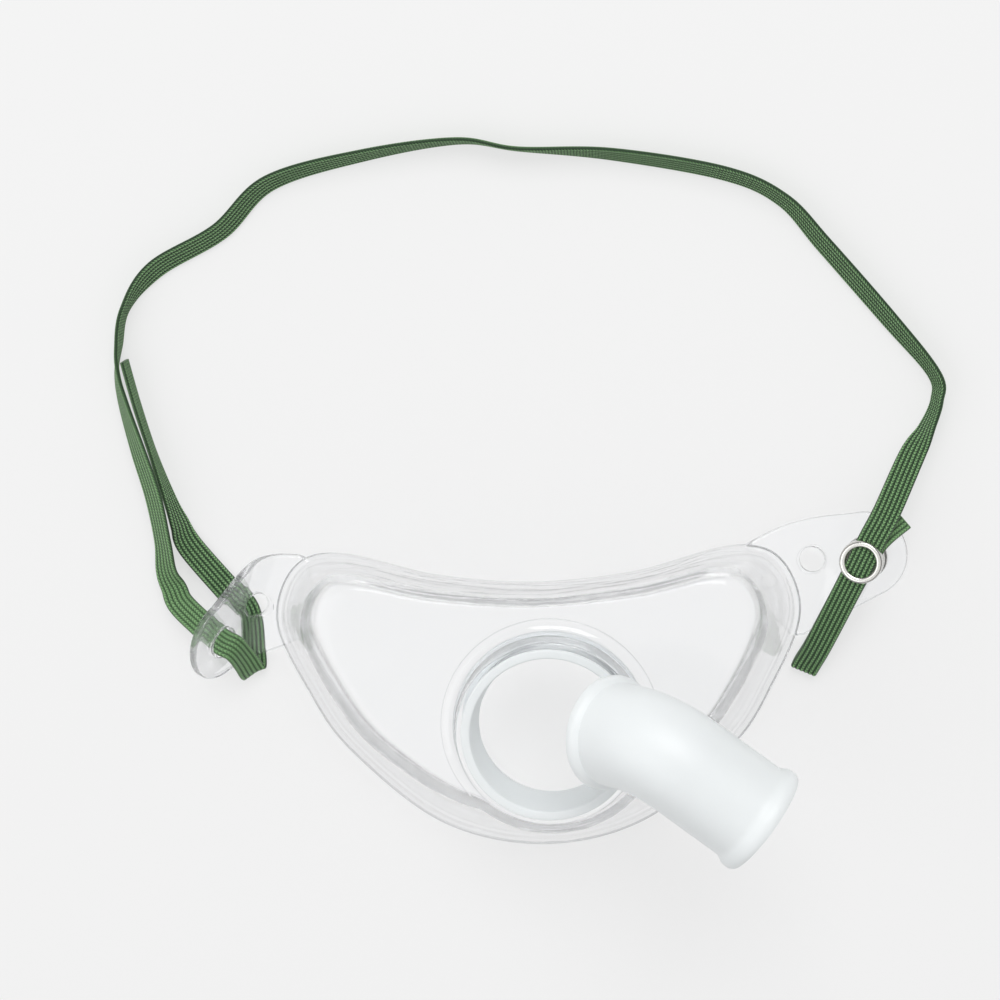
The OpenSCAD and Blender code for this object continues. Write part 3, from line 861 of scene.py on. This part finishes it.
def frosted_plastic(c):
    """Frosted polyethylene: milky, scatters light inside, with a fine satin grain."""
    material, add, _ = new_material("frosted_plastic")
    grain = add("TexNoise", Vector=add("TexCoord").outputs["Object"], Scale=2600.0, Detail=2.0)
    bump = add("Bump", Strength=0.12, Distance=0.0001, Height=grain.outputs["Fac"])
    milk = add("BsdfPrincipled", Base_Color=c.frost, Roughness=0.42, IOR=1.5, Transmission_Weight=0.1,
               Subsurface_Weight=0.25, Subsurface_Radius=(1.0, 1.0, 1.0), Subsurface_Scale=0.003,
               Normal=bump.outputs["Normal"])
    add("OutputMaterial", Surface=milk.outputs[0])
    return material


def green_elastic(k):
    """Braided elastic: on each rib the yarns lie in small chevrons; painted shade darkens them in the
    grooves and between stitches, and the crowns stay light. The back is knitted flatter and lighter, with
    weaker painted shade."""
    material, add, maths = new_material("green_elastic")
    uv = add("SeparateXYZ", Vector=add("TexCoord").outputs["UV"])
    rib = maths("MULTIPLY", uv.outputs["X"], float(k.ribs))
    crown = maths("MULTIPLY", maths("PINGPONG", rib, 0.5), 2.0)
    row = maths("ADD", maths("MULTIPLY", uv.outputs["Y"], 9.0), maths("MULTIPLY", crown, 0.9))
    stitch = maths("MULTIPLY", maths("PINGPONG", row, 0.5), 2.0)
    height = maths("MULTIPLY", crown, maths("ADD", maths("MULTIPLY", stitch, 0.9), 0.1))
    fuzz = add("TexNoise", Vector=add("TexCoord").outputs["Object"], Scale=1800.0, Detail=2.0)
    front = maths("MULTIPLY", height, maths("ADD", maths("MULTIPLY", fuzz.outputs["Fac"], 0.9), 0.55))
    back = maths("ADD", maths("MULTIPLY", front, 0.75), 0.15)
    is_back = maths("GREATER_THAN", uv.outputs["X"], 1.0)
    shade = add("MapRange", Value=is_back, To_Min=front, To_Max=back)
    # Painted shade: low relief, in the grooves and between stitches, takes the near-black groove colour
    ramp = add("ValToRGB", Fac=shade.outputs[0])
    low, high = ramp.color_ramp.elements
    low.position, low.color = 0.15, k.groove_shade
    high.position, high.color = 0.60, k.light
    bump = add("Bump", Strength=0.6, Distance=0.00015, Height=height)
    yarn = add("BsdfPrincipled", Base_Color=ramp.outputs["Color"], Roughness=0.75, Sheen_Weight=0.25,
               Sheen_Roughness=0.4, Normal=bump.outputs["Normal"])
    add("OutputMaterial", Surface=yarn.outputs[0])
    return material


def plated_metal(n):
    """Polished nickel plate with faint rubbing marks."""
    material, add, _ = new_material("plated_metal")
    marks = add("TexNoise", Vector=add("TexCoord").outputs["Object"], Scale=900.0, Detail=3.0)
    rough = add("MapRange", Value=marks.outputs["Fac"], To_Min=0.10, To_Max=0.24)
    metal = add("BsdfPrincipled", Base_Color=n.metal, Metallic=1.0, Roughness=rough.outputs[0])
    add("OutputMaterial", Surface=metal.outputs[0])
    return material


def paper_floor(g):
    """Pale paper: mostly an even tone for what looks at it, so only a soft shadow shows. Mirrors and glass
    see a sheet that darkens away from a lit spot behind the object, as in a dim room."""
    material, add, maths = new_material("paper_floor")
    path = add("LightPath")
    mirrored = maths("MAXIMUM", path.outputs["Is Glossy Ray"], path.outputs["Is Transmission Ray"])
    away = add("VectorMath", Vector=add("TexCoord").outputs["Object"])
    away.operation = "DISTANCE"
    away.inputs[1].default_value = (-0.08, 0.09, 0.0)
    dim = add("MapRange", Value=away.outputs["Value"], From_Min=0.145, From_Max=0.4, To_Min=0.0, To_Max=0.9)
    level = maths("SUBTRACT", 1.0, maths("MULTIPLY", mirrored, dim.outputs[0]))
    even = add("Emission", Color=g.paper, Strength=level)
    seen = maths("MAXIMUM", maths("MULTIPLY", path.outputs["Is Camera Ray"], 0.7), mirrored)
    add("OutputMaterial", Surface=mixed(add, seen, add("BsdfDiffuse", Color=g.paper), even).outputs[0])
    return material


def pale_world(g):
    """Even dim light from all round. The camera sees pale paper; mirrors and glass see paper that greys
    towards the horizon."""
    world = bpy.data.worlds.new("pale_world")
    world.use_nodes = True
    world.node_tree.nodes.clear()
    add, maths = shorthand(world.node_tree)
    direction = add("SeparateXYZ", Vector=add("TexCoord").outputs["Generated"])
    ramp = add("ValToRGB", Fac=direction.outputs["Z"])
    low, high = ramp.color_ramp.elements
    low.position, low.color = 0.15, (0.05, 0.05, 0.055, 1.0)
    high.position, high.color = 0.75, (0.95, 0.95, 0.95, 1.0)
    soft = add("Background", Color=(1.0, 1.0, 1.0, 1.0), Strength=0.6)
    mirrored = add("Background", Color=ramp.outputs["Color"])
    paper = add("Background", Color=g.paper)
    path = add("LightPath")
    seen = maths("MAXIMUM", path.outputs["Is Glossy Ray"], path.outputs["Is Transmission Ray"])
    light = mixed(add, seen, soft, mirrored)
    add("OutputWorld", Surface=mixed(add, path.outputs["Is Camera Ray"], light, paper).outputs[0])
    return world


# Camera and stage

class MASK_OT_camera(bpy.types.Operator):
    """Make the camera at the photograph's viewing angle"""

    bl_idname = "neck_mask.camera"
    bl_label = "Camera"

    def execute(self, context):
        g = context.scene.neck_mask.stage
        back = np.array([math.sin(g.tilt_x), math.sin(g.tilt_y), 0.0])
        back[2] = math.sqrt(1 - back @ back)
        right = unit(np.cross([0, 1, 0], back))
        up = np.cross(back, right)
        cos, sin = math.cos(g.roll), math.sin(g.roll)
        right, up = cos * right + sin * up, cos * up - sin * right
        data = bpy.data.cameras.new("camera")
        data.lens, data.sensor_width = g.lens, 36.0
        data.clip_start, data.clip_end = 0.01, 20.0
        camera = bpy.data.objects.new("camera", data)
        context.collection.objects.link(camera)
        turn = Matrix(np.stack([right, up, back], -1).tolist()).to_4x4()
        place = Vector(g.aim) + g.distance * Vector(back)
        camera.matrix_world = Matrix.Translation(place) @ turn
        context.scene.camera = camera
        return {"FINISHED"}


def softbox(name, place, aim, size, energy):
    """Square area lamp that faces a point."""
    data = bpy.data.lights.new(name, "AREA")
    data.size, data.energy = size, energy
    lamp = bpy.data.objects.new(name, data)
    bpy.context.collection.objects.link(lamp)
    lamp.location = place
    lamp.rotation_euler = (Vector(aim) - Vector(place)).to_track_quat("-Z", "Y").to_euler()


class MASK_OT_stage(bpy.types.Operator):
    """Make the pale floor, the lamps and the surround"""

    bl_idname = "neck_mask.stage"
    bl_label = "Stage"

    def execute(self, context):
        scene = context.scene
        g = scene.neck_mask.stage
        half = 6.0
        mesh = bpy.data.meshes.new("floor")
        corners = [(-half, -half, 0), (half, -half, 0), (half, half, 0), (-half, half, 0)]
        mesh.from_pydata(corners, [], [(0, 1, 2, 3)])
        floor = bpy.data.objects.new("floor", mesh)
        context.collection.objects.link(floor)
        mesh.materials.append(paper_floor(g))
        middle = (0, 0.04, 0)
        softbox("key", (0.1, 0.85, 1.0), middle, 0.7, 7.0)
        softbox("fill", (-0.75, -0.1, 0.9), middle, 0.9, 2.5)
        scene.world = pale_world(g)
        scene.view_settings.view_transform = "Standard"
        return {"FINISHED"}


class MASK_PT_panel(bpy.types.Panel):
    """Sidebar panel that lists the pieces of the mask"""

    bl_idname = "MASK_PT_panel"
    bl_label = "Tracheostomy Mask"
    bl_space_type = "VIEW_3D"
    bl_region_type = "UI"
    bl_category = "Neck Mask"

    def draw(self, context):
        for maker in OPERATORS:
            self.layout.operator(maker.bl_idname)


OPERATORS = (MASK_OT_camera, MASK_OT_strap, MASK_OT_shell, MASK_OT_connector, MASK_OT_snap, MASK_OT_stage)
GROUPS = (ShellSettings, ConnectorSettings, StrapSettings, SnapSettings, StageSettings, MaskSettings)
CLASSES = GROUPS + OPERATORS + (MASK_PT_panel,)


def register():
    for item in CLASSES:
        bpy.utils.register_class(item)
    bpy.types.Scene.neck_mask = PointerProperty(type=MaskSettings)


def unregister():
    del bpy.types.Scene.neck_mask
    for item in reversed(CLASSES):
        bpy.utils.unregister_class(item)


def main():
    register()
    bpy.ops.neck_mask.camera()
    bpy.ops.neck_mask.strap()
    bpy.ops.neck_mask.shell()
    bpy.ops.neck_mask.connector()
    bpy.ops.neck_mask.snap()
    bpy.ops.neck_mask.stage()


if __name__ == "__main__":
    main()
